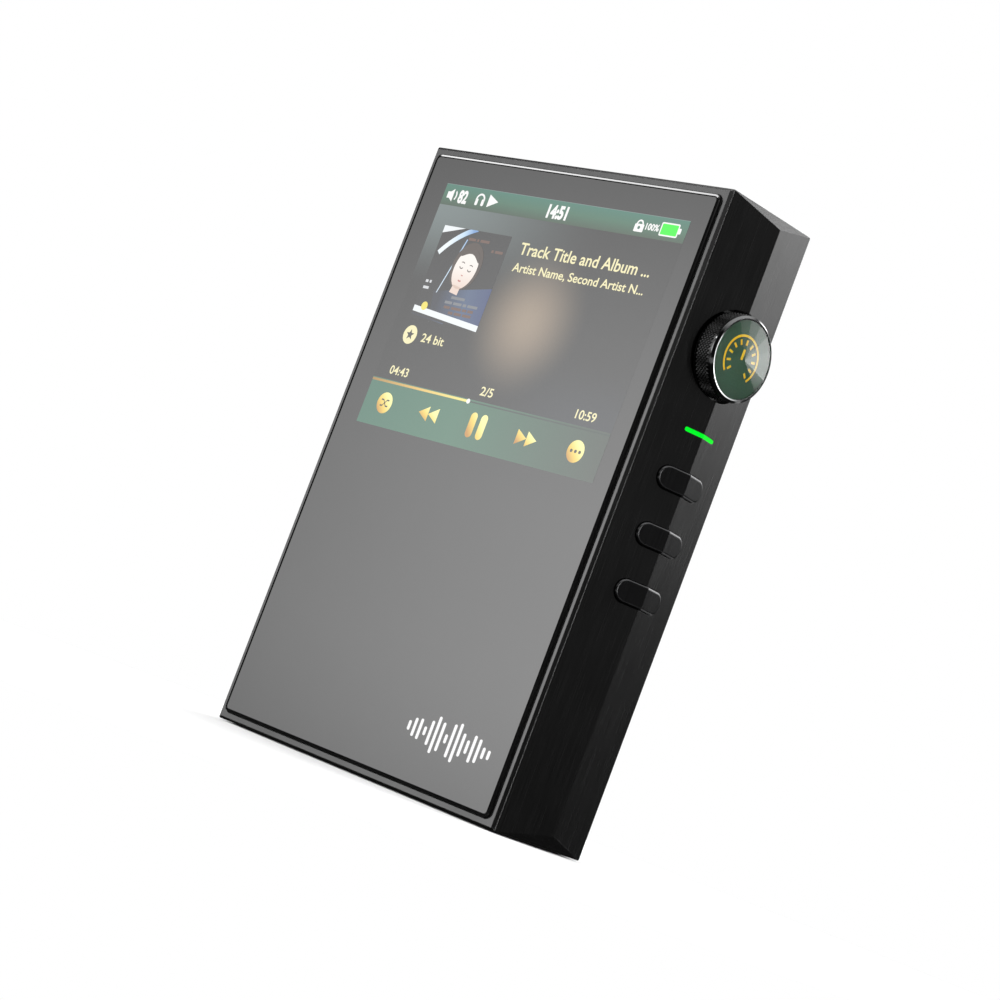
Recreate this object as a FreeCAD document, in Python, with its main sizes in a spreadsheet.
"""A pocket digital audio player: a solid aluminium case with a ridge down each side, a cover glass over a
4:3 display, a knurled volume knob, three pill keys, two headphone jacks and a charging port.

Frame, in millimetres: the origin is the centre of the flat bottom face, +Z runs up the case, the display
faces -Y, and the knob and keys are on the +X side.
"""

import FreeCAD, Part
import math
import os

import Sketcher
from FreeCAD import Placement, Rotation, Vector

DIMENSIONS = [
    ("case", None, "aluminium case"),
    ("body_width", 74.0, "front face, side to side, without the ridges"),
    ("body_height", 110.0, "bottom face to top face"),
    ("body_depth", 21.6, "front face to back face"),
    ("ridge_out", 2.85, "how far each side ridge stands out"),
    ("ridge_inset", 2.55, "how far each end of a ridge stops short of the case's end"),
    ("edge_chamfer", 0.45, "chamfer round the front and back faces"),
    ("rim", 1.35, "case metal showing round the glass"),
    ("opening_corner", 1.2, "corner radius of the glass opening"),
    ("ledge_depth", 0.7, "front face to the ledge under the glass"),
    ("ledge_width", 1.7, "width of that ledge"),
    ("bay_depth", 3.8, "front face to the deck"),
    ("deck_thick", 1.0, "deck between the display bay and the board bay"),
    ("wall_side", 2.7, "side wall at the front and back faces"),
    ("wall_end", 3.0, "top and bottom wall"),
    ("cavity_corner", 2.0, "corner radius of both bays"),
    ("cover_thick", 1.2, "back cover"),
    ("cover_rim", 1.7, "case metal showing round the back cover"),
    ("cover_corner", 1.6, "corner radius of the cover recess"),
    ("cover_gap", 0.08, "gap round the back cover"),
    ("boss_radius", 3.2, "cover screw bosses"),
    ("boss_side", 31.6, "boss axis from the centre line"),
    ("boss_end", 5.8, "boss axis from the case's end"),
    ("glass", None, "cover glass and display"),
    ("glass_thick", 1.1, "cover glass"),
    ("glass_proud", 0.6, "cover glass above the front face"),
    ("glass_gap", 0.12, "gasket between the glass and the case"),
    ("bevel_wide", 0.85, "bevel on the glass edge, across the face"),
    ("bevel_deep", 0.2, "bevel on the glass edge, through the thickness"),
    ("active_width", 60.96, "display picture, side to side"),
    ("active_height", 45.72, "display picture, top to bottom"),
    ("active_top", 103.3, "top of the picture above the bottom face"),
    ("panel_border", 1.3, "panel beyond the picture at the sides and top"),
    ("panel_ledge", 4.6, "panel beyond the picture at the bottom"),
    ("touch_thick", 0.3, "touch sensor"),
    ("panel_thick", 1.2, "liquid crystal panel"),
    ("backlight_thick", 1.4, "backlight"),
    ("flex_thick", 0.15, "flexible circuits"),
    ("display_flex_wide", 12.0, "display flexible circuit"),
    ("keys", None, "keys and status light"),
    ("key_mid", 53.03, "middle key above the bottom face"),
    ("key_pitch", 9.77, "from one key to the next"),
    ("key_length", 11.0, "key, front to back"),
    ("key_width", 3.95, "key, along the case"),
    ("key_proud", 0.5, "key above the case"),
    ("key_gap", 0.1, "gap round a key"),
    ("key_round", 0.42, "rounding of a key's edge"),
    ("key_travel", 0.3, "how far a key goes in"),
    ("flange_wide", 0.4, "flange that keeps a key in"),
    ("flange_thick", 0.8, "that flange"),
    ("switch_thick", 1.3, "switch body"),
    ("switch_radius", 0.8, "switch plunger"),
    ("light_height", 71.3, "status light above the bottom face"),
    ("light_length", 7.4, "status light, front to back"),
    ("light_width", 0.75, "status light, along the case"),
    ("key_board_thick", 0.8, "key board"),
    ("key_board_low", 37.2, "key board's lower end"),
    ("key_board_high", 76.4, "key board's upper end"),
    ("key_board_inner", 30.4, "key board's inner face from the centre line"),
    ("key_board_half", 5.6, "half of the key board's width"),
    ("knob", None, "volume knob and encoder"),
    ("knob_height", 85.0, "knob axis above the bottom face"),
    ("knob_radius", 7.35, "knob"),
    ("knob_bore", 5.7, "bore behind the knob"),
    ("knob_seat", 0.75, "top of the knurl to the emblem disc's seat"),
    ("knob_web", 0.35, "knob's wall under the emblem disc"),
    ("disc_thick", 0.3, "emblem disc"),
    ("ring_radius", 7.2, "knob's trim ring"),
    ("ring_chamfer", 0.38, "chamfer on the trim ring's outer edge"),
    ("knob_low", 37.6, "knob's inner face from the centre line"),
    ("knob_shoulder", 41.5, "top of the knurl from the centre line"),
    ("knob_face", 42.1, "knob's rim from the centre line"),
    ("knob_travel", 0.35, "how far the knob goes in"),
    ("window_radius", 6.55, "crystal in the knob"),
    ("crystal_peak", 0.45, "crystal's point above the knob's rim"),
    ("recess_radius", 7.75, "recess round the knob"),
    ("recess_floor", 37.2, "recess floor from the centre line"),
    ("shaft_radius", 3.0, "encoder shaft"),
    ("bushing_radius", 3.5, "threaded encoder bushing"),
    ("encoder_half", 5.6, "half of the encoder body's side"),
    ("encoder_inner", 29.4, "encoder's inner face from the centre line"),
    ("ports", None, "jacks, charging port and card slots"),
    ("port_side", 17.0, "jack axis from the centre line"),
    ("small_bore", 1.8, "3.5 mm jack bore radius"),
    ("small_depth", 14.5, "3.5 mm jack bore length"),
    ("small_nose", 2.9, "3.5 mm jack nose radius"),
    ("large_bore", 2.25, "4.4 mm jack bore radius"),
    ("large_depth", 19.6, "4.4 mm jack bore length"),
    ("large_nose", 3.6, "4.4 mm jack nose radius"),
    ("jack_setback", 1.0, "bottom face to the jack's nose"),
    ("jack_half", 3.8, "half of a jack body's height"),
    ("usb_wide", 8.94, "charging port shell"),
    ("usb_high", 3.26, "charging port shell"),
    ("usb_long", 7.4, "charging port shell"),
    ("usb_wall", 0.3, "charging port shell's sheet"),
    ("card_slot_wide", 11.3, "card slot, along the case"),
    ("card_slot_high", 0.9, "card slot, front to back"),
    ("card_mid", 58.0, "between the two card slots, above the bottom face"),
    ("card_pitch", 16.0, "from one card slot to the other"),
    ("boards", None, "main board, battery and screws"),
    ("board_gap", 1.2, "deck to the main board"),
    ("board_thick", 1.0, "main board"),
    ("board_left", -33.8, "main board's left edge"),
    ("board_right", 29.0, "main board's right edge"),
    ("battery_wide", 50.0, "battery"),
    ("battery_high", 62.0, "battery"),
    ("battery_thick", 6.4, "battery"),
    ("battery_low", 37.0, "battery's lower end"),
    ("tape_thick", 0.3, "battery tape"),
    ("screw_radius", 0.8, "M1.6 screws"),
    ("screw_head", 1.5, "M1.6 screw heads"),
    ("screw_head_thick", 0.7, "M1.6 screw heads"),
    ("screw_seat", 0.4, "cover metal under a screw head"),
    ("clearance", 0.05, "running clearance"),
]

DOC = FreeCAD.newDocument("audio_player")
SHEET = DOC.addObject("Spreadsheet::Sheet", "dims")
PIECES = []


# ---------------------------------------------------------------- sizes


class Size:
    """A length in millimetres with the spreadsheet expression that it comes from."""

    def __init__(self, value, text):
        self.value = value
        self.text = text

    def __add__(self, other):
        other = size(other)
        return Size(self.value + other.value, f"({self.text} + {other.text})")

    def __sub__(self, other):
        other = size(other)
        return Size(self.value - other.value, f"({self.text} - {other.text})")

    def __rsub__(self, other):
        return size(other) - self

    def __mul__(self, factor):
        return Size(self.value * factor, f"({self.text} * {factor})")

    def __truediv__(self, factor):
        return Size(self.value / factor, f"({self.text} / {factor})")

    def __neg__(self):
        return Size(-self.value, f"(0 - {self.text})")

    __radd__ = __add__
    __rmul__ = __mul__


def size(value):
    """The value as a Size, so that plain numbers and Sizes mix."""
    return value if isinstance(value, Size) else Size(float(value), f"({float(value)})")


def bind(item, name, value):
    """Binds a property of item to a Size's expression."""
    item.setExpression(name, size(value).text)


def fill_sheet():
    """Writes the driving dimensions to the spreadsheet and returns them as Sizes by name."""
    sizes = {}
    for row, (name, value, note) in enumerate(DIMENSIONS, start=1):
        SHEET.set(f"A{row}", name)
        SHEET.set(f"C{row}", note)
        if value is not None:
            SHEET.set(f"B{row}", str(value))
            SHEET.setAlias(f"B{row}", name)
            sizes[name] = Size(value, f"dims.{name}")
    DOC.recompute()
    return sizes


D = fill_sheet()

# Planes across the depth, front to back.
FRONT = -D["body_depth"] / 2
BACK = D["body_depth"] / 2
LEDGE = FRONT + D["ledge_depth"]
DECK_FRONT = FRONT + D["bay_depth"]
DECK_BACK = DECK_FRONT + D["deck_thick"]
BOARD_FRONT = DECK_BACK + D["board_gap"]
BOARD_BACK = BOARD_FRONT + D["board_thick"]
COVER_INNER = BACK - D["cover_thick"]
GLASS_BACK = FRONT - D["glass_proud"] + D["glass_thick"]
# Lines across the width and up the height.
HALF = D["body_width"] / 2
RIDGE = HALF + D["ridge_out"]
TOP = D["body_height"]
INNER = HALF - D["wall_side"]
OPENING_SIDE = HALF - D["rim"]
LEDGE_SIDE = OPENING_SIDE - D["ledge_width"]
COVER_SIDE = HALF - D["cover_rim"]
# The keys' side, inwards from the wall.
FLANGE_OUTER = INNER - D["key_gap"]
FLANGE_INNER = FLANGE_OUTER - D["flange_thick"]
KEY_BOARD_OUTER = D["key_board_inner"] + D["key_board_thick"]
SWITCH_OUTER = KEY_BOARD_OUTER + D["switch_thick"]
PLUNGER_TIP = SWITCH_OUTER + 0.4
KEY_HEIGHTS = {
    "previous": D["key_mid"] + D["key_pitch"],
    "play": D["key_mid"],
    "next": D["key_mid"] - D["key_pitch"],
}
CARD_HEIGHTS = {
    "upper": D["card_mid"] + D["card_pitch"] / 2,
    "lower": D["card_mid"] - D["card_pitch"] / 2,
}
CARD_DEPTH = BOARD_BACK + 0.7
BOARD_POSTS = [(-30.4, 14.0), (25.6, 14.0), (-30.4, 98.0), (25.6, 98.0)]
KEY_POSTS = [38.8, 74.8]


# ---------------------------------------------------------------- sketches and features

NORMALS = {"XY_Plane": "+Z", "XZ_Plane": "-Y", "YZ_Plane": "+X"}
ACROSS = {"Z": "XY_Plane", "Y": "XZ_Plane", "X": "YZ_Plane"}


def new_body(name):
    body = DOC.addObject("PartDesign::Body", name)
    body.Label = name
    PIECES.append(body)
    return body


def sketch_on(body, axis, place):
    """A sketch across the axis "X", "Y" or "Z" at that coordinate, on the body's own origin plane."""
    role = ACROSS[axis]
    plane = next(f for f in body.Origin.OriginFeatures if f.Role == role)
    sketch = body.newObject("Sketcher::SketchObject", f"{body.Name}_sketch")
    sketch.AttachmentSupport = [(plane, "")]
    sketch.MapMode = "FlatFace"
    sign = 1 if NORMALS[role][0] == "+" else -1
    bind(sketch, ".AttachmentOffset.Base.z", size(place) * sign)
    return sketch


def fix(sketch, kind, name, *args):
    """Adds a dimensional constraint whose last argument is a Size, bound to its expression."""
    value = size(args[-1])
    index = sketch.addConstraint(Sketcher.Constraint(kind, *args[:-1], value.value))
    sketch.renameConstraint(index, name)
    sketch.setExpression(f"Constraints.{name}", value.text)


def fix_point(sketch, element, end, x, y):
    """Holds one point of a sketch element at a place measured from the sketch's origin."""
    fix(sketch, "DistanceX", f"x{element}_{end}", -1, 1, element, end, x)
    fix(sketch, "DistanceY", f"y{element}_{end}", -1, 1, element, end, y)


def add_polygon(sketch, points):
    points = [(size(x), size(y)) for x, y in points]
    first = sketch.GeometryCount
    count = len(points)
    corners = [Vector(x.value, y.value, 0) for x, y in points]
    for i in range(count):
        line = Part.LineSegment(corners[i], corners[(i + 1) % count])
        sketch.addGeometry(line, False)
    for i in range(count):
        after = first + (i + 1) % count
        sketch.addConstraint(Sketcher.Constraint("Coincident", first + i, 2, after, 1))
    for i, (x, y) in enumerate(points):
        fix_point(sketch, first + i, 1, x, y)


def add_rectangle(sketch, left, right, low, high):
    add_polygon(sketch, [(left, low), (right, low), (right, high), (left, high)])


def add_circle(sketch, x, y, radius):
    x, y, radius = size(x), size(y), size(radius)
    circle = Part.Circle(Vector(x.value, y.value, 0), Vector(0, 0, 1), radius.value)
    index = sketch.addGeometry(circle, False)
    fix(sketch, "Radius", f"r{index}", index, radius)
    fix_point(sketch, index, 3, x, y)


def add_slot(sketch, x, y, length, width):
    """A slot with round ends, centred at x, y, its length along the sketch's first axis."""
    x, y, radius = size(x), size(y), size(width) / 2
    reach = size(length) / 2 - radius
    first = sketch.GeometryCount
    up = Vector(0, 0, 1)
    low, high = y.value - radius.value, y.value + radius.value
    left, right = x.value - reach.value, x.value + reach.value
    quarter = math.pi / 2
    ends = [
        Part.Circle(Vector(left, y.value, 0), up, radius.value),
        Part.Circle(Vector(right, y.value, 0), up, radius.value),
    ]
    sketch.addGeometry(Part.ArcOfCircle(ends[0], quarter, 3 * quarter), False)
    sketch.addGeometry(Part.LineSegment(Vector(left, low, 0), Vector(right, low, 0)), False)
    sketch.addGeometry(Part.ArcOfCircle(ends[1], -quarter, quarter), False)
    sketch.addGeometry(Part.LineSegment(Vector(right, high, 0), Vector(left, high, 0)), False)
    for a, a_end, b, b_end in [(0, 2, 1, 1), (1, 2, 2, 1), (2, 2, 3, 1), (3, 2, 0, 1)]:
        tangent = Sketcher.Constraint("Tangent", first + a, a_end, first + b, b_end)
        sketch.addConstraint(tangent)
    sketch.addConstraint(Sketcher.Constraint("Equal", first, first + 2))
    fix(sketch, "Radius", f"r{first}", first, radius)
    fix_point(sketch, first, 3, x - reach, y)
    fix_point(sketch, first + 2, 3, x + reach, y)


def add_rounded(sketch, left, right, low, high, radius):
    """A rectangle with round corners."""
    left, right, low, high = size(left), size(right), size(low), size(high)
    radius = size(radius)
    first = sketch.GeometryCount
    x0, x1, y0, y1, r = left.value, right.value, low.value, high.value, radius.value
    up = Vector(0, 0, 1)
    quarter = math.pi / 2
    outline = [
        ((x0 + r, y0), (x1 - r, y0), (x1 - r, y0 + r), 3),
        ((x1, y0 + r), (x1, y1 - r), (x1 - r, y1 - r), 0),
        ((x1 - r, y1), (x0 + r, y1), (x0 + r, y1 - r), 1),
        ((x0, y1 - r), (x0, y0 + r), (x0 + r, y0 + r), 2),
    ]
    for start, end, centre, turn in outline:
        line = Part.LineSegment(Vector(*start, 0), Vector(*end, 0))
        sketch.addGeometry(line, False)
        circle = Part.Circle(Vector(*centre, 0), up, r)
        arc = Part.ArcOfCircle(circle, turn * quarter, (turn + 1) * quarter)
        sketch.addGeometry(arc, False)
    for i in range(8):
        after = first + (i + 1) % 8
        sketch.addConstraint(Sketcher.Constraint("Tangent", first + i, 2, after, 1))
    for i in (0, 4):
        sketch.addConstraint(Sketcher.Constraint("Horizontal", first + i))
        sketch.addConstraint(Sketcher.Constraint("Vertical", first + i + 2))
    for i in (3, 5, 7):
        sketch.addConstraint(Sketcher.Constraint("Equal", first + 1, first + i))
    fix(sketch, "Radius", f"r{first}", first + 1, radius)
    fix(sketch, "DistanceY", f"low{first}", -1, 1, first, 1, low)
    fix(sketch, "DistanceX", f"right{first}", -1, 1, first + 2, 1, right)
    fix(sketch, "DistanceY", f"high{first}", -1, 1, first + 4, 1, high)
    fix(sketch, "DistanceX", f"left{first}", -1, 1, first + 6, 1, left)


def extrude(body, kind, sketch, length, towards):
    """Pads or pockets the sketch by length towards an axis such as "-Y". The volume has to change."""
    DOC.recompute()
    before = body.Shape.Volume if body.Tip and not body.Shape.isNull() else 0.0
    feature = body.newObject(f"PartDesign::{kind}", f"{body.Name}_{kind.lower()}")
    feature.Profile = sketch
    bind(feature, "Length", length)
    normal = NORMALS[next(r for r in NORMALS if sketch.AttachmentSupport[0][0].Role == r)]
    along = towards == normal
    feature.Reversed = not along if kind == "Pad" else along
    sketch.Visibility = False
    DOC.recompute()
    gained = body.Shape.Volume - before
    if not (gained > 1e-6 if kind == "Pad" else gained < -1e-6):
        raise RuntimeError(f"{feature.Name} of {body.Label} changed nothing ({gained:.4f})")
    return feature


def pad(body, sketch, length, towards):
    return extrude(body, "Pad", sketch, length, towards)


def pocket(body, sketch, depth, towards):
    return extrude(body, "Pocket", sketch, depth, towards)


def revolve(body, sketch, axis_role="X_Axis"):
    axis = next(f for f in body.Origin.OriginFeatures if f.Role == axis_role)
    feature = body.newObject("PartDesign::Revolution", f"{body.Name}_revolution")
    feature.Profile = sketch
    feature.ReferenceAxis = (axis, [""])
    feature.Angle = 360
    sketch.Visibility = False
    DOC.recompute()
    return feature


def dress(body, kind, wanted, amount, second=None):
    """Chamfers or fillets the edges of the body for which wanted(edge) is true."""
    DOC.recompute()
    tip = body.Tip
    names = [f"Edge{i}" for i, e in enumerate(tip.Shape.Edges, start=1) if wanted(e)]
    if not names:
        raise RuntimeError(f"no edge to dress on {body.Label}")
    feature = body.newObject(f"PartDesign::{kind}", f"{body.Name}_{kind.lower()}")
    feature.Base = (tip, names)
    if kind == "Fillet":
        bind(feature, "Radius", amount)
    else:
        bind(feature, "Size", amount)
    if second is not None:
        feature.ChamferType = "Two distances"
        bind(feature, "Size2", second)
    tip.Visibility = False
    DOC.recompute()
    return feature


def on_plane(axis, place):
    """A test for edges that lie in the plane across axis 0, 1 or 2 at that coordinate."""
    value = size(place).value
    return lambda edge: all(abs(v.Point[axis] - value) < 1e-4 for v in edge.Vertexes)


# ---------------------------------------------------------------- primitives


def name_piece(item, name):
    item.Label = name
    PIECES.append(item)
    return item


def block(x, y, z):
    """A box from (low, high) pairs along each axis."""
    item = DOC.addObject("Part::Box", "block")
    for name, (low, high), letter in zip(("Length", "Width", "Height"), (x, y, z), "xyz"):
        bind(item, name, size(high) - low)
        bind(item, f".Placement.Base.{letter}", low)
    return item


TURNS = {
    "x": Rotation(Vector(0, 1, 0), 90),
    "y": Rotation(Vector(1, 0, 0), -90),
    "z": Rotation(),
}


def rod(axis, centre, span, radius, far_radius=None):
    """A cylinder, or a cone if it has a far radius, along axis from span's low to its high end."""
    low, high = size(span[0]), size(span[1])
    kind = "Part::Cylinder" if far_radius is None else "Part::Cone"
    item = DOC.addObject(kind, "rod")
    if far_radius is None:
        bind(item, "Radius", radius)
    else:
        bind(item, "Radius1", radius)
        bind(item, "Radius2", far_radius)
    bind(item, "Height", high - low)
    item.Placement = Placement(Vector(), TURNS[axis])
    places = list(centre)
    places.insert("xyz".index(axis), low)
    for letter, place in zip("xyz", places):
        bind(item, f".Placement.Base.{letter}", place)
    return item


def combine(kind, *items):
    """A boolean of the items: "Cut" takes all the others from the first."""
    if kind == "Cut":
        tool = items[1] if len(items) == 2 else combine("MultiFuse", *items[1:])
        result = DOC.addObject("Part::Cut", "cut")
        result.Base, result.Tool = items[0], tool
    else:
        result = DOC.addObject(f"Part::{kind}", kind.lower())
        result.Shapes = list(items)
    return result


def group(name, items):
    """One node that holds several separate solids."""
    result = DOC.addObject("Part::Compound", name)
    result.Links = list(items)
    return name_piece(result, name)


def screw(axis, centre, seat, length, inwards):
    """An M1.6 screw with a hexagon socket. Its head sits on seat and its point looks inwards, +1 or -1."""
    seat = size(seat)
    point = seat + size(length) * inwards
    outer = seat - D["screw_head_thick"] * inwards
    ends = sorted((seat, point), key=lambda end: end.value)
    shank = rod(axis, centre, ends, D["screw_radius"] - D["clearance"])
    ends = sorted((seat, outer), key=lambda end: end.value)
    head = rod(axis, centre, ends, D["screw_head"])
    socket = DOC.addObject("Part::Prism", "socket")
    socket.Polygon = 6
    bind(socket, "Circumradius", D["screw_radius"])
    socket.Height = 0.4
    socket.Placement = Placement(Vector(), TURNS[axis])
    places = list(centre)
    places.insert("xyz".index(axis), outer if inwards > 0 else outer - 0.4)
    for letter, place in zip("xyz", places):
        bind(socket, f".Placement.Base.{letter}", place)
    return combine("Cut", combine("MultiFuse", shank, head), socket)


def strip(name, axis, centreline, span):
    """A flexible circuit: a thin strip along a square-cornered line, as wide as span along axis."""
    body = new_body(name)
    low, high = size(span[0]), size(span[1])
    sketch = sketch_on(body, axis, low)
    half = D["flex_thick"] / 2
    points = [(size(u), size(v)) for u, v in centreline]
    left, right = [], []
    for i, (u, v) in enumerate(points):
        turns = []
        for a, b in ((i - 1, i), (i, i + 1)):
            if 0 <= a and b < len(points):
                du = points[b][0].value - points[a][0].value
                dv = points[b][1].value - points[a][1].value
                run = math.hypot(du, dv)
                turns.append((round(-dv / run), round(du / run)))
        side_u = max((t[0] for t in turns), key=abs)
        side_v = max((t[1] for t in turns), key=abs)
        left.append((u + half * side_u, v + half * side_v))
        right.append((u - half * side_u, v - half * side_v))
    add_polygon(sketch, left + right[::-1])
    pad(body, sketch, high - low, {"X": "+X", "Y": "+Y", "Z": "+Z"}[axis])
    return body


# ---------------------------------------------------------------- case


def section_outline(half, ridge):
    """The case's cross-section: a rectangle with a ridge at the middle of each side."""
    return [
        (-half, FRONT),
        (half, FRONT),
        (ridge, 0),
        (half, BACK),
        (-half, BACK),
        (-ridge, 0),
    ]


def case_blank(body):
    """The outside of the case, with the ridge ends sloped off and the face edges chamfered."""
    section = sketch_on(body, "Z", 0)
    add_polygon(section, section_outline(HALF, RIDGE))
    pad(body, section, TOP, "+Z")
    ends = sketch_on(body, "Y", FRONT)
    for side in (1, -1):
        for end, run in ((size(0), 1), (TOP, -1)):
            slope = D["ridge_inset"] * run
            reach = D["ridge_out"] * side
            corner = (HALF * side, end)
            top_of_slope = (HALF * side + reach * 2, end + slope * 2)
            add_polygon(ends, [corner, top_of_slope, (HALF * side + reach * 2, end)])
    pocket(body, ends, D["body_depth"], "+Y")
    for face in (FRONT, BACK):
        dress(body, "Chamfer", on_plane(1, face), D["edge_chamfer"])


def case_bays(body):
    """The stepped opening for the glass, the display bay, the board bay and the cover's recess."""
    opening = sketch_on(body, "Y", FRONT)
    add_rounded(opening, -OPENING_SIDE, OPENING_SIDE, D["rim"], TOP - D["rim"], D["opening_corner"])
    pocket(body, opening, D["ledge_depth"], "+Y")
    bay = sketch_on(body, "Y", LEDGE)
    low = D["rim"] + D["ledge_width"]
    add_rounded(bay, -LEDGE_SIDE, LEDGE_SIDE, low, TOP - low, D["cavity_corner"])
    pocket(body, bay, DECK_FRONT - LEDGE, "+Y")
    recess = sketch_on(body, "Y", BACK)
    low = D["cover_rim"]
    add_rounded(recess, -COVER_SIDE, COVER_SIDE, low, TOP - low, D["cover_corner"])
    pocket(body, recess, D["cover_thick"], "-Y")
    cavity = sketch_on(body, "Y", COVER_INNER)
    low = D["wall_end"]
    add_rounded(cavity, -INNER, INNER, low, TOP - low, D["cavity_corner"])
    pocket(body, cavity, COVER_INNER - DECK_BACK, "-Y")


def boss_places():
    sides = (-D["boss_side"], D["boss_side"])
    ends = (D["boss_end"], TOP - D["boss_end"])
    return [(x, z) for x in sides for z in ends]


def case_bosses(body):
    """Tapped bosses for the cover, standoffs for the main board and posts for the key board."""
    bosses = sketch_on(body, "Y", DECK_BACK)
    for x, z in boss_places():
        add_circle(bosses, x, z, D["boss_radius"])
    pad(body, bosses, COVER_INNER - DECK_BACK, "+Y")
    taps = sketch_on(body, "Y", COVER_INNER)
    for x, z in boss_places():
        add_circle(taps, x, z, D["screw_radius"])
    pocket(body, taps, 6, "-Y")
    standoffs = sketch_on(body, "Y", DECK_BACK)
    for x, z in BOARD_POSTS:
        add_circle(standoffs, x, z, 1.9)
    pad(body, standoffs, D["board_gap"], "+Y")
    taps = sketch_on(body, "Y", BOARD_FRONT)
    for x, z in BOARD_POSTS:
        add_circle(taps, x, z, D["screw_radius"])
    pocket(body, taps, 1.9, "-Y")
    posts = sketch_on(body, "X", KEY_BOARD_OUTER)
    for z in KEY_POSTS:
        add_circle(posts, 0, z, 1.35)
    pad(body, posts, INNER - KEY_BOARD_OUTER + 0.5, "+X")
    taps = sketch_on(body, "X", KEY_BOARD_OUTER)
    for z in KEY_POSTS:
        add_circle(taps, 0, z, D["screw_radius"])
    pocket(body, taps, 3, "+X")


def case_side_openings(body):
    """Openings through the right wall for keys, light and knob, and card slots through the left."""
    keys = sketch_on(body, "X", RIDGE)
    gap = D["key_gap"] * 2
    for height in KEY_HEIGHTS.values():
        add_slot(keys, 0, height, D["key_length"] + gap, D["key_width"] + gap)
    add_slot(keys, 0, D["light_height"], D["light_length"], D["light_width"])
    pocket(body, keys, RIDGE - INNER + 0.5, "-X")
    recess = sketch_on(body, "X", RIDGE)
    add_circle(recess, 0, D["knob_height"], D["recess_radius"])
    pocket(body, recess, RIDGE - D["recess_floor"], "-X")
    hole = sketch_on(body, "X", RIDGE)
    add_circle(hole, 0, D["knob_height"], D["bushing_radius"] + D["clearance"])
    pocket(body, hole, RIDGE - INNER + 0.5, "-X")
    cards = sketch_on(body, "X", -RIDGE)
    for height in CARD_HEIGHTS.values():
        half = D["card_slot_wide"] / 2
        thick = D["card_slot_high"] / 2
        low, high = CARD_DEPTH - thick, CARD_DEPTH + thick
        add_rounded(cards, low, high, height - half, height + half, 0.3)
    pocket(body, cards, RIDGE - INNER + 0.5, "+X")


def case_end_openings(body):
    """Holes through the bottom wall for the ports, and the flexible circuit's slot through the deck."""
    ports = sketch_on(body, "Z", 0)
    add_circle(ports, -D["port_side"], 0, D["large_nose"] + D["clearance"])
    add_circle(ports, D["port_side"], 0, D["small_nose"] + D["clearance"])
    add_slot(ports, 0, 0, D["usb_wide"] + 0.24, D["usb_high"] + 0.24)
    pocket(body, ports, D["wall_end"] + 0.5, "+Z")
    slot = sketch_on(body, "Y", DECK_FRONT)
    half = D["display_flex_wide"] / 2 + 1
    middle = flex_height()
    add_rectangle(slot, -half, half, middle - 0.6, middle + 0.6)
    pocket(body, slot, D["deck_thick"], "+Y")


def make_housing():
    body = new_body("housing")
    case_blank(body)
    case_bays(body)
    case_bosses(body)
    case_side_openings(body)
    case_end_openings(body)


def make_back_cover():
    body = new_body("back_cover")
    gap = D["cover_gap"]
    low = D["cover_rim"] + gap
    side = COVER_SIDE - gap
    outline = sketch_on(body, "Y", COVER_INNER)
    add_rounded(outline, -side, side, low, TOP - low, D["cover_corner"] - gap)
    pad(body, outline, D["cover_thick"], "+Y")
    dress(body, "Chamfer", on_plane(1, BACK), 0.2)
    holes = sketch_on(body, "Y", BACK)
    for x, z in boss_places():
        add_circle(holes, x, z, D["screw_head"] + D["clearance"])
    pocket(body, holes, D["cover_thick"], "-Y")
    seats = sketch_on(body, "Y", COVER_INNER)
    for x, z in boss_places():
        add_circle(seats, x, z, D["screw_head"] + D["clearance"])
        add_circle(seats, x, z, D["screw_radius"])
    pad(body, seats, D["screw_seat"], "+Y")
    seat = COVER_INNER + D["screw_seat"]
    screws = [screw("y", place, seat, 4.5, -1) for place in boss_places()]
    group("back_cover_screws", screws)


# ---------------------------------------------------------------- glass and display


def make_gasket():
    """A black bonding gasket, under the glass and up its edge."""
    body = new_body("glass_gasket")
    low = D["rim"]
    outer = sketch_on(body, "Y", LEDGE)
    add_rounded(outer, -OPENING_SIDE, OPENING_SIDE, low, TOP - low, D["opening_corner"])
    inset = D["ledge_width"]
    side, bottom = OPENING_SIDE - inset, low + inset
    add_rounded(outer, -side, side, bottom, TOP - bottom, D["cavity_corner"])
    pad(body, outer, D["ledge_depth"] - 0.04, "-Y")
    gap = D["glass_gap"]
    seat = sketch_on(body, "Y", FRONT)
    side, bottom = OPENING_SIDE - gap, low + gap
    add_rounded(seat, -side, side, bottom, TOP - bottom, D["opening_corner"] - gap)
    pocket(body, seat, GLASS_BACK - FRONT, "+Y")


def make_glass():
    body = new_body("front_glass")
    gap = D["glass_gap"]
    side, low = OPENING_SIDE - gap, D["rim"] + gap
    outline = sketch_on(body, "Y", GLASS_BACK)
    add_rounded(outline, -side, side, low, TOP - low, D["opening_corner"] - gap)
    pad(body, outline, D["glass_thick"], "-Y")
    face = GLASS_BACK - D["glass_thick"]
    dress(body, "Chamfer", on_plane(1, face), D["bevel_deep"], D["bevel_wide"])


def panel_span():
    """The panel's sides and ends: (left, right), (low, high)."""
    side = D["active_width"] / 2 + D["panel_border"]
    high = D["active_top"] + D["panel_border"]
    low = D["active_top"] - D["active_height"] - D["panel_ledge"]
    return (-side, side), (low, high)


def flex_height():
    """Height at which the display's flexible circuit goes through the deck."""
    return panel_span()[1][0] - 2.6


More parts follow.
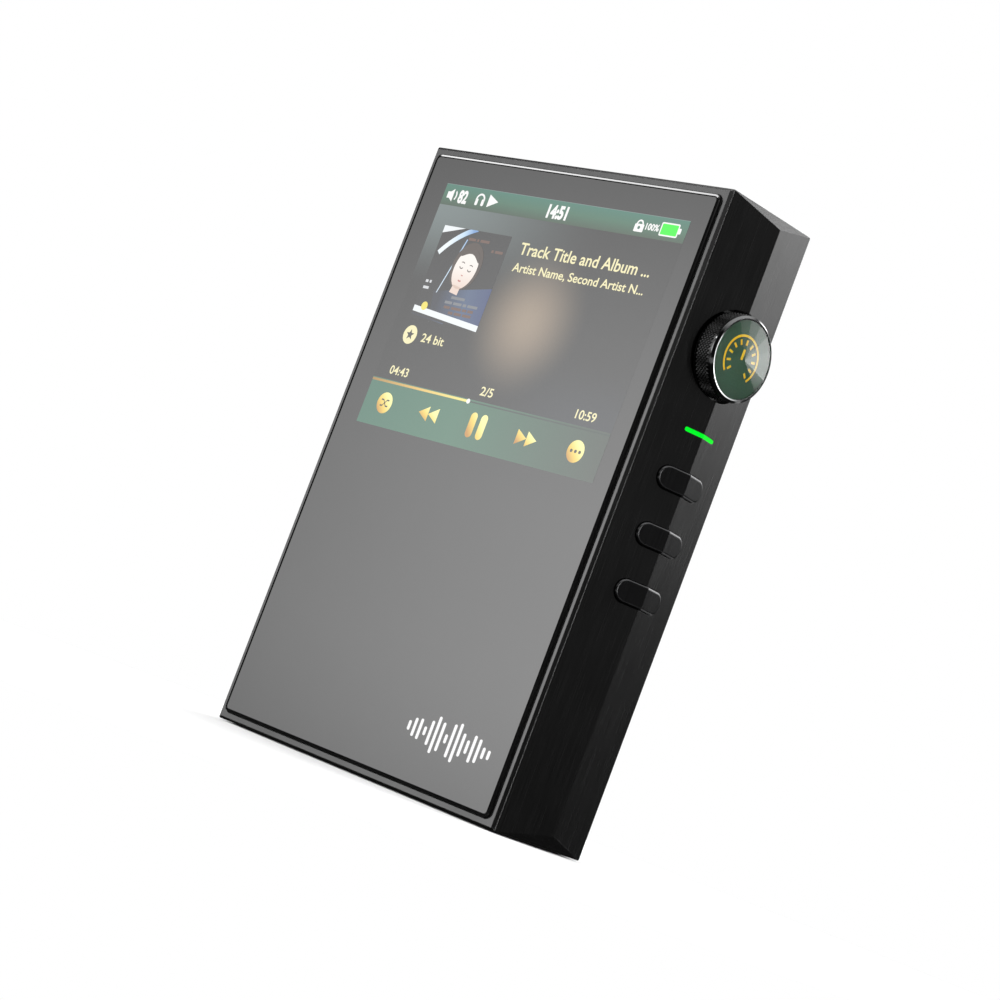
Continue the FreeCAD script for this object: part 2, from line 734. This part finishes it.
def make_display():
    x, z = panel_span()
    touch_back = GLASS_BACK + D["touch_thick"]
    panel_back = touch_back + D["panel_thick"]
    light_back = panel_back + D["backlight_thick"]
    name_piece(block(x, (GLASS_BACK, touch_back), z), "touch_sensor")
    name_piece(block(x, (touch_back, panel_back), z), "display_panel")
    name_piece(block(x, (panel_back, light_back), (z[0] + 0.8, z[1])), "display_backlight")
    outer = block(x, (light_back, DECK_FRONT), (z[0] + 0.8, z[1]))
    inner = block((x[0] + 3, x[1] - 3), (light_back - 1, DECK_FRONT + 1), (z[0] + 4, z[1] - 3))
    name_piece(combine("Cut", outer, inner), "display_foam")
    middle = (touch_back + panel_back) / 2
    connector_front = BOARD_FRONT - 0.9
    connector_back = (connector_front + BOARD_FRONT) / 2
    half = D["display_flex_wide"] / 2
    low = z[0]
    route = [
        (middle, low),
        (middle, flex_height()),
        (connector_back, flex_height()),
        (connector_back, flex_height() - 7),
    ]
    strip("display_flex", "X", route, (-half, half))
    socket = block(
        (-half - 1, half + 1), (connector_front, BOARD_FRONT), (flex_height() - 10, flex_height() - 7)
    )
    name_piece(socket, "display_socket")


def make_glass_support():
    """A moulded frame that backs the glass below the display, with four cells open to the deck."""
    body = new_body("glass_support_frame")
    side = LEDGE_SIDE - 0.4
    low, high = D["rim"] + D["ledge_width"] + 0.5, flex_height() - 1.2
    outline = sketch_on(body, "Y", DECK_FRONT)
    add_rounded(outline, -side, side, low, high, D["cavity_corner"])
    pad(body, outline, DECK_FRONT - GLASS_BACK, "-Y")
    cells = sketch_on(body, "Y", DECK_FRONT)
    pitch = side / 2
    for i in range(4):
        left = pitch * i - side
        add_rounded(cells, left + 0.6, left + pitch - 0.6, low + 1.2, high - 1.2, 1.2)
    pocket(body, cells, DECK_FRONT - GLASS_BACK - 0.9, "-Y")


# ---------------------------------------------------------------- keys and light


def ridge_cutter(body, proud):
    """Cuts the body down to a surface that stands proud of the case's right side."""
    proud = size(proud)
    outside = RIDGE + 6
    away = sketch_on(body, "Z", 0)
    beyond = D["ridge_out"] * 0.5
    outline = [
        (HALF + proud - beyond, FRONT * 1.5),
        (RIDGE + proud, 0),
        (HALF + proud - beyond, BACK * 1.5),
        (outside, BACK * 1.5),
        (outside, FRONT * 1.5),
    ]
    add_polygon(away, outline)
    pocket(body, away, TOP, "+Z")


def make_key(name, height):
    """A pill key that follows the ridge, with a flange behind the wall and a stem for its switch."""
    body = new_body(f"{name}_key")
    flange = sketch_on(body, "X", FLANGE_INNER)
    extra = D["flange_wide"] * 2
    add_slot(flange, 0, height, D["key_length"] + extra, D["key_width"] + extra)
    pad(body, flange, D["flange_thick"], "+X")
    cap = sketch_on(body, "X", FLANGE_OUTER)
    add_slot(cap, 0, height, D["key_length"], D["key_width"])
    pad(body, cap, RIDGE + 3 - FLANGE_OUTER, "+X")
    ridge_cutter(body, D["key_proud"])
    tops = [f for f in body.Tip.Shape.Faces if f.CenterOfMass.x > RIDGE.value - 0.5]

    def rims(edge):
        return sum(1 for f in tops if any(edge.isSame(e) for e in f.Edges)) == 1

    dress(body, "Fillet", rims, D["key_round"])
    stem = sketch_on(body, "X", PLUNGER_TIP)
    add_circle(stem, 0, height, 1.0)
    pad(body, stem, FLANGE_INNER - PLUNGER_TIP, "+X")


def make_switches():
    """A switch body on the key board behind each key, and the plunger that moves in it."""
    bodies = []
    for name, height in KEY_HEIGHTS.items():
        shell = block((KEY_BOARD_OUTER, SWITCH_OUTER), (-1.8, 1.8), (height - 1.6, height + 1.6))
        well = rod("x", (0, height), (KEY_BOARD_OUTER + 0.15, SWITCH_OUTER + 1), D["switch_radius"] + 0.08)
        bodies.append(combine("Cut", shell, well))
        low = KEY_BOARD_OUTER + 0.15 + D["key_travel"] + 0.05
        plunger = rod("x", (0, height), (low, PLUNGER_TIP), D["switch_radius"])
        name_piece(plunger, f"{name}_switch_plunger")
    group("key_switches", bodies)


def make_light():
    """The green status light: a guide through the wall, flush with the ridge, and two light chips."""
    body = new_body("status_light_guide")
    middle = D["light_height"]
    gap = D["clearance"] * 2
    flange = sketch_on(body, "X", INNER - D["flange_thick"])
    add_slot(flange, 0, middle, D["light_length"] + 1.4, D["light_width"] + 1.4)
    pad(body, flange, D["flange_thick"], "+X")
    bar = sketch_on(body, "X", INNER)
    add_slot(bar, 0, middle, D["light_length"] - gap, D["light_width"] - gap)
    pad(body, bar, RIDGE + 3 - INNER, "+X")
    ridge_cutter(body, 0.03)
    chips = [
        block((KEY_BOARD_OUTER, KEY_BOARD_OUTER + 0.6), (y - 0.8, y + 0.8), (middle - 0.4, middle + 0.4))
        for y in (-2.0, 2.0)
    ]
    group("status_light_chips", chips)


def make_key_board():
    x = (D["key_board_inner"], KEY_BOARD_OUTER)
    half = D["key_board_half"]
    board = block(x, (-half, half), (D["key_board_low"], D["key_board_high"]))
    holes = [rod("x", (0, z), (x[0] - 1, x[1] + 1), 0.9) for z in KEY_POSTS]
    name_piece(combine("Cut", board, *holes), "key_board")
    screws = [screw("x", (0, z), D["key_board_inner"], 2.8, 1) for z in KEY_POSTS]
    group("key_board_screws", screws)
    half_thick = D["flex_thick"] / 2
    upright = D["key_board_inner"] - half_thick
    flat = BOARD_BACK + half_thick
    route = [(upright, 1.0), (upright, flat), (D["board_right"] - 2.5, flat)]
    strip("key_board_flex", "Z", route, (47.0, 55.0))


# ---------------------------------------------------------------- knob and encoder


def turned(body, profile):
    """Revolves a profile of (x, radius) points about the knob's axis, which the body is then moved to."""
    sketch = sketch_on(body, "Z", 0)
    add_polygon(sketch, profile)
    revolve(body, sketch)
    bind(body, ".Placement.Base.z", D["knob_height"])


def make_knob():
    low, shoulder, face = D["knob_low"], D["knob_shoulder"], D["knob_face"]
    radius, window = D["knob_radius"], D["window_radius"]
    hub, bore = D["shaft_radius"], D["knob_bore"]
    floor = shoulder - D["knob_seat"]
    web = floor - D["knob_web"]
    rounding = 0.3
    hub_low = low + 1.5
    knurl = new_body("knob_grip")
    profile = [
        (low, bore),
        (low, radius - rounding),
        (low + rounding, radius),
        (shoulder, radius),
        (shoulder, window),
        (floor, window),
        (floor, 0),
        (web, 0),
        (web, hub),
        (hub_low, hub),
        (hub_low, bore),
    ]
    turned(knurl, profile)
    outside, chamfer = D["ring_radius"], D["ring_chamfer"]
    ring = new_body("knob_trim_ring")
    profile = [
        (shoulder, window),
        (shoulder, outside),
        (face - chamfer, outside),
        (face, outside - chamfer),
        (face, window),
    ]
    turned(ring, profile)
    disc = new_body("knob_emblem_disc")
    disc_front = floor + D["disc_thick"]
    turned(disc, [(floor, 0), (floor, window), (disc_front, window), (disc_front, 0)])


def make_crystal():
    """A low faceted crystal: a round plate with a many-sided pyramid on it."""
    sides = 16
    base = D["knob_shoulder"] - 0.45
    rim = D["knob_face"] - 0.1
    peak = D["knob_face"] + D["crystal_peak"]
    radius = D["window_radius"]
    plate = rod("x", (0, D["knob_height"]), (base, peak), radius)
    half_angle = math.pi / sides
    reach = radius / math.cos(half_angle)
    points = [
        Vector(
            rim.value,
            reach.value * math.cos((2 * i + 1) * half_angle),
            D["knob_height"].value + reach.value * math.sin((2 * i + 1) * half_angle),
        )
        for i in range(sides)
    ]
    tip = Vector(peak.value, 0, D["knob_height"].value)
    drop = Vector(base.value - rim.value - 1, 0, 0)
    faces = [Part.Face(Part.makePolygon(points + points[:1])).translated(drop)]
    for i in range(sides):
        a, b = points[i], points[(i + 1) % sides]
        faces.append(Part.Face(Part.makePolygon([a, b, tip, a])))
        faces.append(Part.Face(Part.makePolygon([a, b, b + drop, a + drop, a])))
    gem = DOC.addObject("Part::Feature", "gem")
    gem.Shape = Part.Solid(Part.Shell(faces))
    name_piece(combine("MultiCommon", plate, gem), "knob_crystal")


def make_encoder():
    height = D["knob_height"]
    axis = (0, height)
    half = D["encoder_half"]
    inner = D["encoder_inner"]
    bushing_end = D["recess_floor"] + 1.3
    well = (inner + 0.7, INNER - 1.0)
    shell = block((inner, INNER), (-half, half), (height - half, height + half))
    bushing = rod("x", axis, (INNER - 0.5, bushing_end), D["bushing_radius"])
    bore = rod("x", axis, (well[0], bushing_end + 1), D["shaft_radius"] + D["clearance"])
    chamber = rod("x", axis, well, 4.8)
    name_piece(combine("Cut", combine("MultiFuse", shell, bushing), bore, chamber), "encoder_body")
    dome = rod("x", axis, (well[0], well[0] + 0.4), 2.2)
    name_piece(dome, "encoder_snap_dome")
    cup_low = well[0] + 0.4 + D["knob_travel"] + 0.05
    cup = rod("x", axis, (cup_low, cup_low + 1.3), 2.6)
    pin_hole = rod("x", axis, (cup_low + 0.25, cup_low + 2), 1.2 + 0.05)
    name_piece(combine("Cut", cup, pin_hole), "encoder_push_cup")
    disc_outer = well[1] - 0.1
    disc_inner = disc_outer - 0.7
    pin = rod("x", axis, (cup_low + 0.3, disc_inner), 1.2)
    disc = rod("x", axis, (disc_inner, disc_outer), 4.6)
    stem = rod("x", axis, (disc_outer, D["knob_shoulder"] - 1.1), D["shaft_radius"])
    name_piece(combine("MultiFuse", pin, disc, stem), "encoder_shaft")
    floor = D["recess_floor"]
    ring = rod("x", axis, (floor, floor + 0.3), 5.4)
    hole = rod("x", axis, (floor - 1, floor + 2), D["bushing_radius"] + D["clearance"])
    name_piece(combine("Cut", ring, hole), "encoder_washer")
    nut = DOC.addObject("Part::Prism", "nut")
    nut.Polygon = 6
    nut.Circumradius = 4.9
    nut.Height = 0.9
    nut.Placement = Placement(Vector(), TURNS["x"])
    bind(nut, ".Placement.Base.x", floor + 0.3)
    bind(nut, ".Placement.Base.z", height)
    hole = rod("x", axis, (floor - 1, floor + 2), D["bushing_radius"] + D["clearance"])
    name_piece(combine("Cut", nut, hole), "encoder_nut")
    half_thick = D["flex_thick"] / 2
    upright = inner - half_thick
    flat = BOARD_BACK + half_thick
    route = [(upright, 1.0), (upright, flat), (D["board_right"] - 3.5, flat)]
    strip("encoder_flex", "Z", route, (height - 3, height + 3))


# ---------------------------------------------------------------- ports


def make_jack(name, x, bore, depth, nose, half_width):
    """A headphone jack: a moulded body on the main board, its nose in the bottom wall, and a gold ring."""
    wall = D["wall_end"]
    setback = D["jack_setback"]
    end = setback + depth + 1.4
    shell = block((x - half_width, x + half_width), (BOARD_BACK, D["jack_half"]), (wall, end))
    round_nose = rod("z", (x, 0), (setback, wall + 1), nose)
    hole = rod("z", (x, 0), (setback - 1, setback + depth), bore)
    name_piece(combine("Cut", combine("MultiFuse", shell, round_nose), hole), f"{name}_jack")
    ring = rod("z", (x, 0), (0.05, setback), nose)
    mouth = rod("z", (x, 0), (-1, setback + 1), bore + 0.15)
    name_piece(combine("Cut", ring, mouth), f"{name}_jack_ring")


def make_usb():
    """The charging port: a folded shell, a tongue in its own moulding, and the small board under it."""
    start = 0.3
    shell = new_body("usb_shell")
    wall = D["usb_wall"]
    outline = sketch_on(shell, "Z", start)
    add_slot(outline, 0, 0, D["usb_wide"], D["usb_high"])
    add_slot(outline, 0, 0, D["usb_wide"] - wall * 2, D["usb_high"] - wall * 2)
    pad(shell, outline, D["usb_long"], "+Z")
    tongue = new_body("usb_tongue")
    base = sketch_on(tongue, "Z", start + D["usb_long"] - 1.2)
    add_slot(base, 0, 0, D["usb_wide"] - wall * 2, D["usb_high"] - wall * 2)
    pad(tongue, base, 1.2, "+Z")
    blade = sketch_on(tongue, "Z", start + 1.0)
    add_rectangle(blade, -3.35, 3.35, -0.35, 0.35)
    pad(tongue, blade, D["usb_long"] - 2.2, "+Z")
    under = -D["usb_high"] / 2
    thick = 0.8
    board = block((-9, 9), (under - thick, under), (D["wall_end"] + 0.4, 16.0))
    name_piece(board, "usb_board")
    link = block((-5, 5), (BOARD_BACK, under - thick), (11.0, 14.0))
    name_piece(link, "usb_board_connector")


def make_card_sockets():
    """Two push-in card sockets on the main board, each with its slot in line with the case's."""
    left = -INNER + 0.1
    half = 6.4
    low = BOARD_BACK
    for name, height in CARD_HEIGHTS.items():
        shell = block((left, left + 14.6), (low, low + 1.4), (height - half, height + half))
        slot = block(
            (left - 1, left + 13.4), (CARD_DEPTH - 0.4, CARD_DEPTH + 0.4), (height - 5.6, height + 5.6)
        )
        name_piece(combine("Cut", shell, slot), f"{name}_card_socket")


# ---------------------------------------------------------------- board and battery


def make_main_board():
    body = new_body("main_board")
    left, right = D["board_left"], D["board_right"]
    low, high = 3.5, TOP - 3.5
    notch = D["boss_end"] + D["boss_radius"] + 0.3
    inside = D["boss_side"] - D["boss_radius"] - 0.3
    outline = sketch_on(body, "Y", BOARD_FRONT)
    corners = [
        (-inside, low),
        (inside, low),
        (inside, notch),
        (right, notch),
        (right, TOP - notch),
        (inside, TOP - notch),
        (inside, high),
        (-inside, high),
        (-inside, TOP - notch),
        (left, TOP - notch),
        (left, notch),
        (-inside, notch),
    ]
    add_polygon(outline, corners)
    pad(body, outline, D["board_thick"], "+Y")
    holes = sketch_on(body, "Y", BOARD_FRONT)
    for x, z in BOARD_POSTS:
        add_circle(holes, x, z, 0.9)
    pocket(body, holes, D["board_thick"], "+Y")
    screws = [screw("y", place, BOARD_BACK, 2.6, -1) for place in BOARD_POSTS]
    group("main_board_screws", screws)


def on_board(x, z, wide, high, tall):
    """A box on the back of the main board, centred at x, z."""
    return block(
        (x - wide / 2, x + wide / 2), (BOARD_BACK, BOARD_BACK + tall), (z - high / 2, z + high / 2)
    )


def make_components():
    """What the main board carries on its back, between it and the battery."""
    shield = on_board(2.0, 86.0, 24.0, 18.0, 1.6)
    name_piece(shield, "processor_shield")
    ladder = [
        on_board(-8.0 + 2.6 * column, 64.0 - 1.7 * row - (4.0 if row > 3 else 0.0), 1.6, 0.8, 0.5)
        for column in range(8)
        for row in range(8)
    ]
    group("dac_ladder_resistors", ladder)
    chips = [on_board(x, 34.0, 4.9, 3.9, 1.4) for x in (-17.0, -9.0, 9.0, 17.0)]
    group("amplifier_chips", chips)
    clocks = [on_board(x, 71.5, 5.0, 3.2, 1.2) for x in (-4.0, 6.0)]
    group("clock_oscillators", clocks)
    cans = [
        rod("y", (x, 27.5), (BOARD_BACK, BOARD_BACK + 5.2), 2.5) for x in (-8.5, -2.8, 2.8, 8.5)
    ]
    group("filter_capacitors", cans)
    coils = [on_board(-20.0, height, 4.2, 4.2, 2.0) for height in (82.5, 88.5, 94.5)]
    group("power_inductors", coils)


def tube(points, radius, bend):
    """A round lead along square-cornered straight runs joined by tangent arcs."""
    edges = []
    start = points[0]
    for before, corner, after in zip(points, points[1:], points[2:]):
        into = (corner - before).normalize()
        away = (after - corner).normalize()
        enter, leave = corner - into * bend, corner + away * bend
        centre = corner + (away - into) * bend
        middle = centre + (corner - centre).normalize() * bend
        edges.append(Part.LineSegment(start, enter).toShape())
        edges.append(Part.Arc(enter, middle, leave).toShape())
        start = leave
    edges.append(Part.LineSegment(start, points[-1]).toShape())
    path = Part.Wire(edges)
    ring = Part.Wire(Part.Circle(points[0], points[1] - points[0], radius).toShape())
    return path.makePipeShell([ring], True, True)


def make_battery():
    low, high = D["battery_low"], D["battery_low"] + D["battery_high"]
    side = D["battery_wide"] / 2
    back = COVER_INNER - D["tape_thick"]
    body = new_body("battery")
    outline = sketch_on(body, "Y", back - D["battery_thick"])
    add_rounded(outline, -side, side, low, high, 1.5)
    pad(body, outline, D["battery_thick"], "+Y")
    dress(body, "Fillet", on_plane(1, back - D["battery_thick"]), 0.9)
    tape = block((4 - side, side - 4), (back, COVER_INNER), (low + 5, high - 5))
    name_piece(tape, "battery_tape")
    middle = back - D["battery_thick"] / 2
    guard = block((-12.0, 12.0), (middle - 0.6, middle + 0.6), (high, high + 3))
    name_piece(guard, "battery_protection_board")
    socket_x, socket_z = 18.0, high + 1.5
    plug_face = BOARD_BACK + 2.4
    name_piece(on_board(socket_x, socket_z, 3.8, 4.4, 1.2), "battery_socket")
    plug = block(
        (socket_x - 1.5, socket_x + 1.5), (BOARD_BACK + 1.2, plug_face), (socket_z - 1.8, socket_z + 1.8)
    )
    name_piece(plug, "battery_plug")
    leads = []
    for step in (-0.9, 0.0, 0.9):
        z = socket_z.value + step
        y = middle.value
        route = [Vector(12.0, y, z), Vector(socket_x, y, z), Vector(socket_x, plug_face.value, z)]
        leads.append(tube(route, 0.3, 2.5))
    wires = DOC.addObject("Part::Feature", "battery_leads")
    wires.Shape = Part.makeCompound(leads)
    name_piece(wires, "battery_leads")


# ---------------------------------------------------------------- build


def build():
    make_housing()
    make_back_cover()
    make_gasket()
    make_glass()
    make_display()
    make_glass_support()
    for name, height in KEY_HEIGHTS.items():
        make_key(name, height)
    make_switches()
    make_light()
    make_key_board()
    make_knob()
    make_crystal()
    make_encoder()
    make_jack("balanced", -D["port_side"], D["large_bore"], D["large_depth"], D["large_nose"], 4.2)
    make_jack("headphone", D["port_side"], D["small_bore"], D["small_depth"], D["small_nose"], 3.2)
    make_usb()
    make_card_sockets()
    make_main_board()
    make_components()
    make_battery()
    DOC.recompute()


def check():
    """Stops if any object failed or any piece has no valid solid."""
    failed = [o.Name for o in DOC.Objects if {"Invalid", "Error"} & set(o.State)]
    if failed:
        raise RuntimeError(f"failed objects: {failed}")
    for piece in PIECES:
        shape = piece.Shape
        if shape.isNull() or not shape.isValid() or not shape.Solids:
            raise RuntimeError(f"{piece.Label} has no valid solid")
    labels = [piece.Label for piece in PIECES]
    if len(set(labels)) != len(labels):
        raise RuntimeError("two pieces share a label")


def export():
    os.makedirs("parts", exist_ok=True)
    for name in os.listdir("parts"):
        if name.endswith(".step"):
            os.remove(os.path.join("parts", name))
    for piece in PIECES:
        piece.Shape.exportStep(os.path.join("parts", f"{piece.Label}.step"))
        print(f"{piece.Label:28s} {len(piece.Shape.Solids):3d} solids {piece.Shape.Volume:10.1f} mm3")


build()
check()
export()
